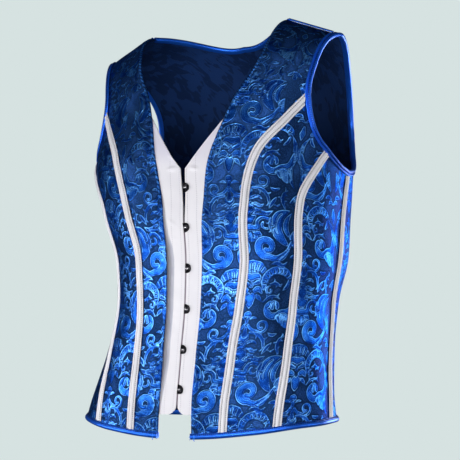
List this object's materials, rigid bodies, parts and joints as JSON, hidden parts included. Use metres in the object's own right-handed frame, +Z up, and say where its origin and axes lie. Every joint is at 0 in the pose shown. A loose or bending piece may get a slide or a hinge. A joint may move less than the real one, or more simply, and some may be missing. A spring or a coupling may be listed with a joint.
{
  "type": "corset vest",
  "caption": "Sleeveless blue damask corset vest in worn form, white satin busk front with six loops and studs, white boning channels, blue satin bindings.",
  "frame": {"origin": "midway between the two shoulder seams, at the height of the cloth's underside there", "axes": "+Z up along the body, -Y out of the front, +X to the wearer's left"},
  "size_m": [0.3496, 0.2539, 0.5074],
  "materials": {
    "brocade": "satin",
    "white_satin": "satin",
    "blue_satin": "satin",
    "busk_metal": "dark"
  },
  "bodies": {
    "root": {"front_left": "brocade", "side_front_left": "brocade", "side_left": "brocade", "side_back_left": "brocade", "back_left": "brocade", "placket_left": "white_satin", "channel_princess_left": "white_satin", "channel_side_front_left": "white_satin", "channel_side_left": "white_satin", "hem_binding_left": "blue_satin", "armhole_binding_left": "blue_satin", "shoulder_piping_left": "blue_satin", "front_right": "brocade", "side_front_right": "brocade", "side_right": "brocade", "side_back_right": "brocade", "back_right": "brocade", "placket_right": "white_satin", "channel_princess_right": "white_satin", "channel_side_front_right": "white_satin", "channel_side_right": "white_satin", "hem_binding_right": "blue_satin", "armhole_binding_right": "blue_satin", "shoulder_piping_right": "blue_satin", "back_neck_binding": "blue_satin", "busk_loop_1": "busk_metal", "busk_stud_1": "busk_metal", "busk_loop_2": "busk_metal", "busk_stud_2": "busk_metal", "busk_loop_3": "busk_metal", "busk_stud_3": "busk_metal", "busk_loop_4": "busk_metal", "busk_stud_4": "busk_metal", "busk_loop_5": "busk_metal", "busk_stud_5": "busk_metal", "busk_loop_6": "busk_metal", "busk_stud_6": "busk_metal"}
  },
  "joints": []
}
